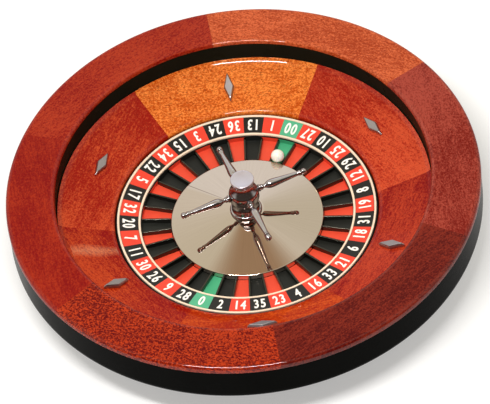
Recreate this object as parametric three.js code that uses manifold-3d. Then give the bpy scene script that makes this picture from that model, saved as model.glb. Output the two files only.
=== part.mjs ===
// A 20 inch roulette wheel with 38 pockets: a standing wooden bowl, and a rotor that spins on
// ball bearings on a fixed spindle. Millimetres, +Z up, origin on the table under the spin axis.
// Heights are measured from the outer edge of the number ring, and one group lifts them all.
import * as THREE from "three";
import { mergeVertices } from "three/addons/utils/BufferGeometryUtils.js";
import Module from "manifold-3d";

const wasm = await Module();
wasm.setup();

// Driving dimensions.
const RING_LEVEL = 48; // number ring's outer edge above the table
const GAP = 0.3; // between pieces that touch
const RIM_RADIUS = 254;
const RIM_EDGE_TOP = 46.9; // top of the rim at its outer edge
const RIM_INNER_TOP = 51.7;
const RIM_BOTTOM = 38.9;
const WALL_RADIUS = 201.5; // the upright wall that the ball runs round
const WALL_THICKNESS = 4.6;
const APRON_INNER_RADIUS = 142;
const APRON_OUTER_RADIUS = 200.6;
const APRON_INNER_TOP = 1.8;
const APRON_SLOPE = THREE.MathUtils.degToRad(20);
const APRON_THICKNESS = 8.5;
const SIDE_INNER_RADIUS = 241;
const SIDE_RADIUS = 253.4;
const SIDE_BOTTOM = -1.5;
const BODY_BOTTOM = -31;
const BOARD_RADIUS = 198;
const BOARD_BOTTOM = -43;
const BOARD_SOCKET = 9; // depth of the spindle's seat in the board
const FOOT_RADIUS = 13;
const FOOT_CIRCLE = 172;
const FOOT_BEVEL = 1.5;
const SEGMENTS = 6; // staves in the rim and in the apron
const RIM_JOINT = THREE.MathUtils.degToRad(33); // where the first joint lies
const APRON_JOINT = THREE.MathUtils.degToRad(0.6);
const DEFLECTOR_CIRCLE = 170.5;
const DEFLECTOR_LENGTH = 32;
const DEFLECTOR_WIDTH = 11;
const DEFLECTOR_HEIGHT = 4.4;

const POCKETS = 38;
const POCKET_ANGLE = (2 * Math.PI) / POCKETS;
const FIRST_FRET = THREE.MathUtils.degToRad(0.16);
const ROTOR_RADIUS = 140.5;
const LIP_TOP = -0.9; // the rotor's black lip outside the trim
const LIP_BOTTOM = -12;
const RING_OUTER_RADIUS = 139.2; // outer edge of the outer trim ring
const RING_INNER_RADIUS = 114.2; // inner edge of the inner trim ring
const TRIM_WIDTH = 2.4;
const TRIM_PROUD = 0.35;
const INNER_TRIM_DEPTH = 1.6;
const RING_SLOPE = 0.146; // the number ring falls towards the middle
const RING_THICKNESS = 2.5;
const POCKET_WALL_RADIUS = 113.5;
const POCKET_WALL_THICKNESS = 1.5;
const POCKET_FLOOR_OUTER = -12.5;
const POCKET_FLOOR_INNER = -14;
const FRET_TOP = -7.6;
const FRET_THICKNESS = 2.2;
const DISC_TOP = -17;
const DISC_BOTTOM = -28;
const DISC_PLATE = 5; // thickness inside its stiffening band
const DISC_BAND = [42, 46, 112]; // radii where the band starts, is full and ends
const CONE_RADIUS = 81.9;
const CONE_EDGE_TOP = -7.6;
const CONE_SEAT_RADIUS = 17.6;
const CONE_SEAT_TOP = 5.55;
const CONE_SHEET = 2.5;
const CONE_HOLE_RADIUS = 12.5;

const BEARING_OUTER_RADIUS = 13;
const BEARING_BORE_RADIUS = 5.05;
const BEARING_WIDTH = 8;
const BEARING_BALL_RADIUS = 2;
const BEARING_PITCH_RADIUS = 9;
const BEARING_BALLS = 7;
const RACE_THICKNESS = 1.8;
const CAGE_THICKNESS = 1.6;
const CAGE_HEIGHT = 2.4;
const LOWER_BEARING = -25.2; // underside of each bearing
const UPPER_BEARING = -7.6;
const HOUSING_RADIUS = 16.5;
const HOUSING_NECK_RADIUS = 12.1;
const HOUSING_WALL = 2.5;
const HOUSING_FLANGE = 3;
const SPINDLE_RADIUS = 4.95;
const SPINDLE_FOOT_RADIUS = 7;
const FLANGE_RADIUS = 28;
const FLANGE_THICKNESS = 4;
const FLANGE_BOLT_CIRCLE = 21;
const NUT_RADIUS = 8;
const NUT_HEIGHT = 5;
const SPINDLE_TOP = 8.5;

const TURRET_BASE_RADIUS = 17.2;
const TURRET_BASE_HEIGHT = 3.8;
const TURRET_HUB_BOTTOM = 24.5;
const SPIGOT_RADIUS = 4; // joins the hub to the column
const SPIGOT_LENGTH = 6.5;
const STUB_RADIUS = 3; // joins the cap to the hub
const STUB_LENGTH = 5;
const SHANK_RADIUS = 2.2; // joins each arm to the hub
const SHANK_START = 9.2;
const ARM_LEVEL = 31.6;
const ARM_LENGTH = 72;
const ARMS = 4;
const FIRST_ARM = THREE.MathUtils.degToRad(16.2);
const HUB_TOP = 51;
const CAP_TOP = 55;
const CAP_RADIUS = 12.6;

const BALL_RADIUS = 7.15;
const BALL_CIRCLE = 87.7;
const BALL_POCKET = 6; // pockets counted from the first fret

// Facets round each kind of piece.
const BOWL_FACETS = 48;
const ROTOR_FACETS = POCKETS;
const HUB_FACETS = 20;
const BEARING_FACETS = 16;
const SMALL_FACETS = 12;
const ARM_FACETS = 10;
const SCREW_FACETS = 8;
const BALL_FACETS = 16;
const ROUND_STEPS = 3; // straight steps in a rounded corner

const woodDark = { color: 0x9e2a1f, roughness: 0.25, metalness: 0 };
const woodLight = { color: 0xc8501e, roughness: 0.25, metalness: 0 };
const woodOrange = { color: 0xd8641e, roughness: 0.25, metalness: 0 };
const blackLacquer = { color: 0x1a1c16, roughness: 0.3, metalness: 0 };
const blackPaint = { color: 0x161616, roughness: 0.6, metalness: 0 };
const rubber = { color: 0x202020, roughness: 0.9, metalness: 0 };
const cream = { color: 0xf2dcc0, roughness: 0.4, metalness: 0 };
const printed = { color: 0xd64a3c, roughness: 0.45, metalness: 0 };
const satinMetal = { color: 0xa8a4a6, roughness: 0.35, metalness: 1 };
const polishedNickel = { color: 0xbeb09a, roughness: 0.12, metalness: 1 };
const darkChrome = { color: 0x8c8488, roughness: 0.08, metalness: 1 };
const steel = { color: 0x9a9ca0, roughness: 0.3, metalness: 1 };
const brass = { color: 0xb08a4a, roughness: 0.35, metalness: 1 };
const whiteBall = { color: 0xf2ece4, roughness: 0.2, metalness: 0 };

const wheel = new THREE.Group();
wheel.position.z = RING_LEVEL;

// Adds one named piece of the given finish.
function piece(name, geometry, finish, parent = wheel) {
  const mesh = new THREE.Mesh(geometry, new THREE.MeshStandardMaterial(finish));
  mesh.name = name;
  parent.add(mesh);
  return mesh;
}

// Points along corners of [radius, height, rounding]: rounding is how far along each side it starts.
function outline(corners) {
  return corners.flatMap(([x, z, rounding = 0], i) => {
    const corner = new THREE.Vector2(x, z);
    if (!rounding) {
      return [corner];
    }
    const neighbours = [corners.at(i - 1), corners[(i + 1) % corners.length]];
    const [from, to] = neighbours.map(([nx, nz]) =>
      new THREE.Vector2(nx, nz).sub(corner).setLength(rounding).add(corner),
    );
    return new THREE.QuadraticBezierCurve(from, corner, to).getPoints(ROUND_STEPS);
  });
}

// A turned piece about +Z. Its corners run anticlockwise, and either close on themselves or start
// and end on the axis. The first facet edge lies at the angle start.
function turned(corners, facets, start = 0) {
  const points = outline(corners);
  if (corners[0][0] > 0) {
    points.push(points[0].clone());
  }
  const geometry = new THREE.LatheGeometry(points, facets, start + Math.PI / 2);
  return geometry.rotateX(Math.PI / 2);
}

const tube = (inner, outer, bottom, top, facets) =>
  turned([[inner, bottom], [outer, bottom], [outer, top], [inner, top]], facets);

const rod = (radius, bottom, top, facets) =>
  turned([[0, bottom], [radius, bottom], [radius, top], [0, top]], facets);

function solid(geometry) {
  const bare = geometry.clone();
  bare.deleteAttribute("normal");
  bare.deleteAttribute("uv");
  const merged = mergeVertices(bare);
  const vertProperties = merged.attributes.position.array;
  const triVerts = new Uint32Array(merged.index.array);
  return new wasm.Manifold(new wasm.Mesh({ numProp: 3, vertProperties, triVerts }));
}

function geometryOf(made) {
  const mesh = made.getMesh();
  const geometry = new THREE.BufferGeometry();
  geometry.setAttribute("position", new THREE.BufferAttribute(mesh.vertProperties, 3));
  geometry.setIndex(new THREE.BufferAttribute(mesh.triVerts, 1));
  geometry.computeVertexNormals();
  return geometry;
}

const joined = (first, others) =>
  geometryOf(others.reduce((sum, other) => sum.add(solid(other)), solid(first)));

const cut = (first, others) =>
  geometryOf(others.reduce((rest, other) => rest.subtract(solid(other)), solid(first)));

// Places on a circle round the axis, one for each of count.
function around(count, radius, first = 0) {
  return Array.from({ length: count }, (_, i) => {
    const angle = first + (i * 2 * Math.PI) / count;
    return { angle, x: radius * Math.cos(angle), y: radius * Math.sin(angle) };
  });
}

// Cuts a turned ring into equal staves, with a gap at each joint.
function staves(ring, firstJoint) {
  const whole = solid(ring);
  const half = Math.PI / SEGMENTS;
  const reach = 2 * RIM_RADIUS;
  return around(SEGMENTS, 1, firstJoint + half).map(({ angle }) => {
    const wedge = new THREE.Shape();
    wedge.moveTo(0, 0);
    [-half, 0, half].forEach((turn) => wedge.lineTo(reach * Math.cos(turn), reach * Math.sin(turn)));
    const block = new THREE.ExtrudeGeometry(wedge, { depth: 2 * reach, bevelEnabled: false });
    block.translate(GAP / 2 / Math.sin(half), 0, -reach).rotateZ(angle);
    return geometryOf(whole.intersect(solid(block)));
  });
}

const apronTop = (radius) =>
  APRON_INNER_TOP + (radius - APRON_INNER_RADIUS) * Math.tan(APRON_SLOPE);

const ringTop = (radius) => (radius - RING_OUTER_RADIUS) * RING_SLOPE;

function makeRim() {
  const ledge = WALL_RADIUS + WALL_THICKNESS + GAP;
  const lip = RIM_EDGE_TOP - GAP;
  const profile = [
    [ledge, RIM_BOTTOM],
    [RIM_RADIUS, RIM_BOTTOM],
    [RIM_RADIUS, RIM_EDGE_TOP, 5],
    [WALL_RADIUS, RIM_INNER_TOP, 2.5],
    [WALL_RADIUS, lip],
    [ledge, lip],
  ];
  const facetTurn = Math.PI / BOWL_FACETS; // joints fall in the middle of a facet
  staves(turned(profile, BOWL_FACETS, RIM_JOINT + facetTurn), RIM_JOINT).forEach((stave, i) =>
    piece(`rim_segment_${i + 1}`, stave, i === 0 || i === 3 ? woodLight : woodDark),
  );
}

function makeApron() {
  const [inner, outer] = [APRON_INNER_RADIUS, APRON_OUTER_RADIUS];
  const profile = [
    [inner, apronTop(inner) - APRON_THICKNESS],
    [outer, apronTop(outer) - APRON_THICKNESS],
    [outer, apronTop(outer), 3],
    [inner, apronTop(inner), 1.5],
  ];
  const facetTurn = Math.PI / BOWL_FACETS;
  staves(turned(profile, BOWL_FACETS, APRON_JOINT + facetTurn), APRON_JOINT).forEach((stave, i) =>
    piece(`apron_segment_${i + 1}`, stave, woodOrange),
  );
}

function makeCarcass() {
  const wallOuter = WALL_RADIUS + WALL_THICKNESS;
  const wallBottom = apronTop(APRON_OUTER_RADIUS) - APRON_THICKNESS;
  const wallTop = RIM_EDGE_TOP - 2 * GAP;
  piece(
    "ball_track_ring",
    tube(WALL_RADIUS, wallOuter, wallBottom, wallTop, BOWL_FACETS),
    blackLacquer,
  );
  const sideTop = RIM_BOTTOM - GAP;
  const side = [
    [SIDE_INNER_RADIUS, SIDE_BOTTOM],
    [SIDE_RADIUS, SIDE_BOTTOM, 7],
    [SIDE_RADIUS, sideTop],
    [SIDE_INNER_RADIUS, sideTop],
  ];
  piece("side_ring", turned(side, BOWL_FACETS), blackLacquer);
  const bodyOuter = SIDE_INNER_RADIUS - GAP;
  const shelf = wallBottom - GAP;
  const body = [
    [APRON_INNER_RADIUS, BODY_BOTTOM],
    [BOARD_RADIUS, BODY_BOTTOM],
    [bodyOuter, SIDE_BOTTOM],
    [bodyOuter, sideTop],
    [wallOuter + GAP, sideTop],
    [wallOuter + GAP, shelf],
    [APRON_OUTER_RADIUS, shelf],
    [APRON_INNER_RADIUS, apronTop(APRON_INNER_RADIUS) - APRON_THICKNESS - GAP],
  ];
  piece("bowl_body", turned(body, BOWL_FACETS), blackPaint);
}

// A screw with its head on top, resting at height 0.
function screw({ radius, length, head, headHeight }) {
  const profile = [
    [0, -length],
    [radius, -length],
    [radius, 0],
    [head, 0],
    [head * 0.8, headHeight],
    [0, headHeight],
  ];
  return turned(profile, SCREW_FACETS);
}

function makeBase() {
  const boardTop = BODY_BOTTOM - GAP;
  const socketBottom = boardTop - BOARD_SOCKET;
  const spindleHole = SPINDLE_FOOT_RADIUS + 0.4;
  const board = [
    [0, BOARD_BOTTOM],
    [BOARD_RADIUS, BOARD_BOTTOM, 2],
    [BOARD_RADIUS, boardTop],
    [spindleHole, boardTop],
    [spindleHole, socketBottom],
    [0, socketBottom],
  ];
  const footScrew = { radius: 2, length: 10, head: 4.4, headHeight: 1.6 };
  const flangeScrew = { radius: 1.8, length: 11, head: 3.4, headHeight: 2 };
  const feet = around(4, FOOT_CIRCLE, Math.PI / 4);
  const bolts = around(3, FLANGE_BOLT_CIRCLE, Math.PI / 2);
  const footHoles = feet.map(({ x, y }) =>
    rod(footScrew.radius + GAP, BOARD_BOTTOM - 1, boardTop - 3, SCREW_FACETS).translate(x, y, 0),
  );
  const boltHoles = bolts.map(({ x, y }) =>
    rod(flangeScrew.radius + GAP, socketBottom, boardTop + BOARD_SOCKET, SCREW_FACETS)
      .translate(x, y, 0),
  );
  piece("base_board", cut(turned(board, BOWL_FACETS), [...footHoles, ...boltHoles]), blackPaint);

  const footTop = BOARD_BOTTOM - GAP;
  const washer = footTop - 1.5; // the screw's head pulls on this ledge
  const screwHole = footScrew.radius + 0.4;
  const recess = footScrew.head + 0.6;
  const foot = [
    [screwHole, washer],
    [recess, washer],
    [recess, -RING_LEVEL],
    [FOOT_RADIUS - FOOT_BEVEL, -RING_LEVEL],
    [FOOT_RADIUS, -RING_LEVEL + FOOT_BEVEL],
    [FOOT_RADIUS, footTop],
    [screwHole, footTop],
  ];
  feet.forEach(({ x, y }, i) => {
    piece(`rubber_foot_${i + 1}`, turned(foot, SMALL_FACETS), rubber).position.set(x, y, 0);
    const fixing = piece(`foot_screw_${i + 1}`, screw(footScrew).rotateX(Math.PI), steel);
    fixing.position.set(x, y, washer - GAP);
  });

  const flangeBottom = boardTop + GAP;
  const flangeTop = flangeBottom + FLANGE_THICKNESS;
  const flange = tube(spindleHole, FLANGE_RADIUS, flangeBottom, flangeTop, HUB_FACETS);
  piece("spindle_flange", cut(flange, boltHoles), steel);
  bolts.forEach(({ x, y }, i) => {
    const fixing = piece(`flange_screw_${i + 1}`, screw(flangeScrew), steel);
    fixing.position.set(x, y, flangeTop + GAP);
  });
}

function makeDeflectors() {
  const edge = 0.6 * DEFLECTOR_HEIGHT;
  const profile = [[0, 0], [1, 0], [1, edge], [0.8, DEFLECTOR_HEIGHT], [0, DEFLECTOR_HEIGHT]];
  around(SEGMENTS, DEFLECTOR_CIRCLE, Math.PI / 6).forEach(({ angle, x, y }, i) => {
    const diamond = turned(profile, 4);
    diamond.scale(DEFLECTOR_LENGTH / 2, DEFLECTOR_WIDTH / 2, 1);
    const mesh = piece(`deflector_${i + 1}`, diamond, satinMetal, new THREE.Group());
    mesh.rotation.z = i % 2 ? 0 : Math.PI / 2; // every other one lies across the slope
    const place = mesh.parent;
    place.position.set(x, y, apronTop(DEFLECTOR_CIRCLE) + 2 * GAP);
    place.rotation.set(0, -APRON_SLOPE, angle, "ZYX");
    wheel.add(place);
  });
}

function makeSpindle() {
  const bottom = BODY_BOTTOM - BOARD_SOCKET;
  const shoulder = LOWER_BEARING - GAP;
  const spindle = [
    [0, bottom],
    [SPINDLE_FOOT_RADIUS, bottom],
    [SPINDLE_FOOT_RADIUS, shoulder],
    [SPINDLE_RADIUS, shoulder],
    [SPINDLE_RADIUS, SPINDLE_TOP, 0.8],
    [0, SPINDLE_TOP],
  ];
  piece("spindle", turned(spindle, BEARING_FACETS), steel);
  const nutBottom = UPPER_BEARING + BEARING_WIDTH + GAP;
  const nutTop = nutBottom + NUT_HEIGHT;
  const nutBore = rod(SPINDLE_RADIUS + 0.2, nutBottom - 1, nutTop + 1, BEARING_FACETS);
  piece("spindle_nut", cut(rod(NUT_RADIUS, nutBottom, nutTop, 6), [nutBore]), steel);
}

function makeBearings() {
  const innerRace = BEARING_BORE_RADIUS + RACE_THICKNESS;
  const outerRace = BEARING_OUTER_RADIUS - RACE_THICKNESS;
  [["lower", LOWER_BEARING], ["upper", UPPER_BEARING]].forEach(([where, bottom]) => {
    const top = bottom + BEARING_WIDTH;
    const middle = (bottom + top) / 2;
    const inner = tube(BEARING_BORE_RADIUS, innerRace, bottom, top, BEARING_FACETS);
    piece(`${where}_bearing_inner`, inner, steel);
    const outer = tube(outerRace, BEARING_OUTER_RADIUS, bottom, top, BEARING_FACETS);
    piece(`${where}_bearing_outer`, outer, steel);
    const cage = tube(
      BEARING_PITCH_RADIUS - CAGE_THICKNESS / 2,
      BEARING_PITCH_RADIUS + CAGE_THICKNESS / 2,
      middle - CAGE_HEIGHT / 2,
      middle + CAGE_HEIGHT / 2,
      2 * BEARING_BALLS,
    );
    const balls = around(BEARING_BALLS, BEARING_PITCH_RADIUS).map(({ x, y }) =>
      new THREE.SphereGeometry(BEARING_BALL_RADIUS, 6, 5).translate(x, y, middle),
    );
    piece(`${where}_bearing_cage`, joined(cage, balls), brass);
  });
  const spacerBottom = LOWER_BEARING + BEARING_WIDTH + GAP;
  const spacerTop = UPPER_BEARING - GAP;
  piece(
    "bearing_inner_spacer",
    tube(BEARING_BORE_RADIUS, innerRace, spacerBottom, spacerTop, BEARING_FACETS),
    steel,
  );
  piece(
    "bearing_outer_spacer",
    tube(outerRace, BEARING_OUTER_RADIUS, spacerBottom, spacerTop, BEARING_FACETS),
    steel,
  );
  const bore = BEARING_OUTER_RADIUS + 0.35;
  const neck = HOUSING_NECK_RADIUS;
  const neckTop = CONE_SEAT_TOP + GAP + TURRET_BASE_HEIGHT - 0.4; // just below the turret base's top
  const shoulder = CONE_SEAT_TOP - CONE_SHEET - GAP;
  const flangeRadius = 2 * HOUSING_RADIUS;
  const flangeBottom = DISC_TOP + GAP;
  const roof = UPPER_BEARING + BEARING_WIDTH + GAP;
  const housing = [
    [bore, LOWER_BEARING - GAP],
    [HOUSING_RADIUS, LOWER_BEARING - GAP],
    [HOUSING_RADIUS, flangeBottom],
    [flangeRadius, flangeBottom],
    [flangeRadius, DISC_TOP + HOUSING_FLANGE],
    [HOUSING_RADIUS, DISC_TOP + HOUSING_FLANGE],
    [HOUSING_RADIUS, shoulder],
    [neck, shoulder],
    [neck, neckTop],
    [neck - HOUSING_WALL, neckTop],
    [neck - HOUSING_WALL, roof],
    [bore, roof],
  ];
  piece("bearing_housing", turned(housing, BEARING_FACETS), brass);
}

function makeRotorDisc() {
  const seat = (radius) => ringTop(radius) - RING_THICKNESS - GAP;
  const lip = RING_OUTER_RADIUS + GAP;
  const well = POCKET_WALL_RADIUS + POCKET_WALL_THICKNESS + GAP;
  const hole = HOUSING_RADIUS + 0.5;
  const plateBottom = DISC_TOP - DISC_PLATE;
  const [bandStart, bandFull, bandEnd] = DISC_BAND;
  const profile = [
    [hole, plateBottom],
    [bandStart, plateBottom],
    [bandFull, DISC_BOTTOM],
    [bandEnd, DISC_BOTTOM],
    [ROTOR_RADIUS, LIP_BOTTOM],
    [ROTOR_RADIUS, LIP_TOP],
    [lip, LIP_TOP],
    [lip, seat(lip)],
    [well, seat(well)],
    [well, DISC_TOP],
    [hole, DISC_TOP],
  ];
  piece("rotor_disc", turned(profile, ROTOR_FACETS, FIRST_FRET), blackPaint);
}

// A flat-sided ring that follows the number ring's slope, between two depths below it.
function sloped(inner, outer, above, below) {
  const profile = [
    [inner, ringTop(inner) - below],
    [outer, ringTop(outer) - below],
    [outer, ringTop(outer) + above],
    [inner, ringTop(inner) + above],
  ];
  return turned(profile, ROTOR_FACETS, FIRST_FRET);
}

function makeNumberRing() {
  const outer = RING_OUTER_RADIUS - TRIM_WIDTH;
  const inner = RING_INNER_RADIUS + TRIM_WIDTH;
  piece("number_ring", sloped(inner + GAP, outer - GAP, 0, RING_THICKNESS), printed);
  piece("outer_trim_ring", sloped(outer, RING_OUTER_RADIUS, TRIM_PROUD, RING_THICKNESS), cream);
  const innerTrim = sloped(RING_INNER_RADIUS, inner, TRIM_PROUD, INNER_TRIM_DEPTH);
  piece("inner_trim_ring", innerTrim, cream);
}

function makePocketRing() {
  const wallOuter = POCKET_WALL_RADIUS + POCKET_WALL_THICKNESS;
  const inner = CONE_RADIUS + GAP + 0.1;
  const wallTop = ringTop(RING_INNER_RADIUS) - INNER_TRIM_DEPTH - GAP;
  const profile = [
    [inner, DISC_TOP + GAP],
    [wallOuter, DISC_TOP + GAP],
    [wallOuter, wallTop],
    [POCKET_WALL_RADIUS, wallTop],
    [POCKET_WALL_RADIUS, POCKET_FLOOR_OUTER],
    [inner, POCKET_FLOOR_INNER],
  ];
  const length = POCKET_WALL_RADIUS + 0.5 - inner;
  const bottom = DISC_TOP + 1;
  const frets = around(POCKETS, inner + length / 2, FIRST_FRET).map(({ angle, x, y }) =>
    new THREE.BoxGeometry(length, FRET_THICKNESS, FRET_TOP - bottom)
      .rotateZ(angle)
      .translate(x, y, (FRET_TOP + bottom) / 2),
  );
  const ring = turned(profile, ROTOR_FACETS, FIRST_FRET);
  piece("pocket_ring", joined(ring, frets), blackPaint);
}

function makeCone() {
  const skirt = CONE_RADIUS - CONE_SHEET;
  const hole = CONE_HOLE_RADIUS;
  const profile = [
    [skirt, DISC_TOP + GAP],
    [CONE_RADIUS, DISC_TOP + GAP],
    [CONE_RADIUS, CONE_EDGE_TOP, 0.5],
    [CONE_SEAT_RADIUS, CONE_SEAT_TOP],
    [hole, CONE_SEAT_TOP],
    [hole, CONE_SEAT_TOP - CONE_SHEET],
    [CONE_SEAT_RADIUS, CONE_SEAT_TOP - CONE_SHEET],
    [skirt, CONE_EDGE_TOP - CONE_SHEET],
  ];
  piece("centre_cone", turned(profile, ROTOR_FACETS), polishedNickel);
}

function makeTurret() {
  const baseBottom = CONE_SEAT_TOP + GAP;
  const baseTop = baseBottom + TURRET_BASE_HEIGHT;
  const bore = CONE_HOLE_RADIUS;
  const base = [
    [bore, baseBottom],
    [TURRET_BASE_RADIUS, baseBottom],
    [TURRET_BASE_RADIUS, baseBottom + 2.3, 1],
    [TURRET_BASE_RADIUS - 1.6, baseTop],
    [bore, baseTop],
  ];
  piece("turret_base", turned(base, HUB_FACETS), darkChrome);

  const columnBottom = baseTop + GAP;
  const columnTop = TURRET_HUB_BOTTOM - GAP;
  const spigot = SPIGOT_RADIUS;
  const spigotBottom = TURRET_HUB_BOTTOM - SPIGOT_LENGTH;
  const hollowTop = 14.5; // the column is hollow over the spindle's end
  const hollow = 10.5;
  const column = [
    [0, hollowTop],
    [hollow, hollowTop],
    [hollow, columnBottom],
    [15.3, columnBottom],
    [13.9, 14],
    [13.5, 19],
    [14.4, columnTop],
    [spigot + GAP, columnTop],
    [spigot + GAP, spigotBottom - GAP],
    [0, spigotBottom - GAP],
  ];
  piece("turret_column", turned(column, HUB_FACETS), darkChrome);

  const capStub = STUB_RADIUS;
  const stubBottom = HUB_TOP - STUB_LENGTH;
  const hub = [
    [0, spigotBottom],
    [spigot, spigotBottom],
    [spigot, TURRET_HUB_BOTTOM],
    [15.2, TURRET_HUB_BOTTOM],
    [16.1, TURRET_HUB_BOTTOM + 1.1],
    [16.2, 34.5],
    [15.6, 36.2],
    [12.6, 39.6],
    [10, 43.5],
    [8.8, 47.5],
    [9.6, HUB_TOP],
    [capStub + GAP, HUB_TOP],
    [capStub + GAP, stubBottom - GAP],
    [0, stubBottom - GAP],
  ];
  const sockets = around(ARMS, 1, FIRST_ARM).map(({ angle }) =>
    rod(SHANK_RADIUS + GAP, SHANK_START - GAP, 30, SCREW_FACETS)
      .rotateY(Math.PI / 2)
      .rotateZ(angle)
      .translate(0, 0, ARM_LEVEL),
  );
  piece("turret_hub", cut(turned(hub, HUB_FACETS), sockets), darkChrome);

  const capBottom = HUB_TOP + GAP;
  const cap = [
    [0, stubBottom],
    [capStub, stubBottom],
    [capStub, capBottom],
    [CAP_RADIUS - 0.6, capBottom],
    [CAP_RADIUS, capBottom + 0.8],
    [CAP_RADIUS, CAP_TOP - 0.6],
    [CAP_RADIUS - 0.6, CAP_TOP],
    [0, CAP_TOP],
  ];
  piece("turret_cap", turned(cap, HUB_FACETS), satinMetal);

  const knob = 3.3;
  const knobCentre = ARM_LENGTH - knob;
  const knobPoints = [-0.55, 0, 0.5, 0.85].map((share) => [
    knob * Math.sqrt(1 - share * share),
    knobCentre + knob * share,
  ]);
  const arm = [
    [0, SHANK_START],
    [SHANK_RADIUS, SHANK_START],
    [SHANK_RADIUS, 16.8],
    [3.9, 16.8],
    [4.1, 18.2],
    [2.7, 19.2],
    [3.4, 20.6],
    [1.9, 22.4],
    [2.6, 24.6],
    [4.4, 28.4],
    [4.8, 32.5],
    [4.2, 39],
    [3.2, 50],
    [2.4, 62],
    [3.1, 64.6],
    [2.1, 66],
    ...knobPoints,
    [0, ARM_LENGTH],
  ];
  around(ARMS, 1, FIRST_ARM).forEach(({ angle }, i) => {
    const bar = turned(arm, ARM_FACETS).rotateY(Math.PI / 2);
    const mesh = piece(`turret_arm_${i + 1}`, bar, darkChrome);
    mesh.rotation.z = angle;
    mesh.position.z = ARM_LEVEL;
  });
}

// The ball lies across the tops of two frets, against the cone.
function makeBall() {
  const clearance = GAP / 2;
  const angle = FIRST_FRET + (BALL_POCKET + 0.5) * POCKET_ANGLE;
  const sideways = BALL_CIRCLE * Math.sin(POCKET_ANGLE / 2) - FRET_THICKNESS / 2;
  const rise = Math.sqrt((BALL_RADIUS + clearance) ** 2 - sideways ** 2);
  const sphere = new THREE.SphereGeometry(BALL_RADIUS, BALL_FACETS, 10);
  const ball = piece("ball", sphere, whiteBall);
  ball.rotation.x = Math.PI / 2;
  ball.position.set(
    BALL_CIRCLE * Math.cos(angle),
    BALL_CIRCLE * Math.sin(angle),
    FRET_TOP + rise,
  );
}

makeRim();
makeApron();
makeCarcass();
makeBase();
makeDeflectors();
makeSpindle();
makeBearings();
makeRotorDisc();
makeNumberRing();
makePocketRing();
makeCone();
makeTurret();
makeBall();

export default wheel;
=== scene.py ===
# A wooden roulette wheel: segmented mahogany bowl, enamelled number ring, nickel cone and chrome turret.
import math
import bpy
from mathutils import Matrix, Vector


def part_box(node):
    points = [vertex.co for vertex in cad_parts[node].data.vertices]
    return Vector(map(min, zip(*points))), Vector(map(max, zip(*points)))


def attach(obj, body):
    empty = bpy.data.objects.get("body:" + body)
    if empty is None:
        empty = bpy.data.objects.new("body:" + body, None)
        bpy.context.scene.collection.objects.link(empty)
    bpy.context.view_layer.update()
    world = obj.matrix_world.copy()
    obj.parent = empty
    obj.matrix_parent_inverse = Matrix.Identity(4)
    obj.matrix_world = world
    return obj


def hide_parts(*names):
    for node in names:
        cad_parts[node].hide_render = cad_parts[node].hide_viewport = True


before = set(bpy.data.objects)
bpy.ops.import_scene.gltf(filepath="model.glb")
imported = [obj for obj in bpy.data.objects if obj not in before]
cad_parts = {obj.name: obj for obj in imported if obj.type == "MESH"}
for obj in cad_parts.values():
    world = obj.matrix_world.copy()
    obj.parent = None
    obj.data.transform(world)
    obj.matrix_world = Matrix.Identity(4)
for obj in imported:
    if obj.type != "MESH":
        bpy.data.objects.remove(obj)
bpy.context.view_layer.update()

from types import SimpleNamespace

import bmesh
import bpy
from mathutils import Euler, Matrix, Vector

MM = 0.001
FULL_TURN = 2 * math.pi
GAP = 0.3 * MM  # between pieces that touch

# Layout that the boxes of the nodes don't give.
STAVES = 6
DEFLECTORS = 6
RIM_JOINT = math.radians(33)
APRON_JOINT = math.radians(0.6)
APRON_SLOPE = math.radians(20)
APRON_THICKNESS = 8.5 * MM
RIM_FALL = 4.8 * MM  # the rim's outer edge lies this much lower than its inner one
POCKETS = 38
POCKET_ANGLE = FULL_TURN / POCKETS
FIRST_FRET = math.radians(0.16)
RING_SLOPE = 0.146  # the number ring falls towards the middle
NUMBER_RING_THICKNESS = 2.5 * MM
PAINTED_LINE_ANGLE = math.radians(135.7)  # where a dark radial line is painted on the cone, a painted reflection
FIRST_ARM = math.radians(16.2)
ARMS = 4
NUMBERS_FROM_ZERO = (
    "0 2 14 35 23 4 16 33 21 6 18 31 19 8 12 29 25 10 27 "
    "00 1 13 36 24 3 15 34 22 5 17 32 20 7 11 30 26 9 28"
).split()
ZERO_CELL = 25  # counted from the first fret, as the numbers run anticlockwise
NUMERAL_HEIGHT = 13.6 * MM
NUMERAL_PROUD = 0.09 * MM
NUMERAL_SQUEEZE = 0.62
NUMERAL_WEIGHT = 0.4 * MM  # how much wider each stroke is made on either side

# Steps round each kind of piece.
BOWL_STEPS = 240
STEPS_PER_POCKET = 8
ROTOR_STEPS = POCKETS * STEPS_PER_POCKET
HUB_STEPS = 72
FOOT_STEPS = 48
ARM_STEPS = 32


# ---------------------------------------------------------------- materials


class Wire:
    """One output of a node. Arithmetic on it adds Math nodes to the same finish."""

    def __init__(self, finish, socket):
        self.finish = finish
        self.socket = socket

    def math(self, operation, *others):
        values = dict(enumerate((self, *others)))
        return self.finish.node("ShaderNodeMath", {"operation": operation}, values)

    def __add__(self, other):
        return self.math("ADD", other)

    def __sub__(self, other):
        return self.math("SUBTRACT", other)

    def __mul__(self, other):
        return self.math("MULTIPLY", other)

    def __pow__(self, other):
        return self.math("POWER", other)

    def __rsub__(self, other):
        return self.finish.node("ShaderNodeMath", {"operation": "SUBTRACT"}, {0: other, 1: self})

    __radd__ = __add__
    __rmul__ = __mul__


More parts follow.
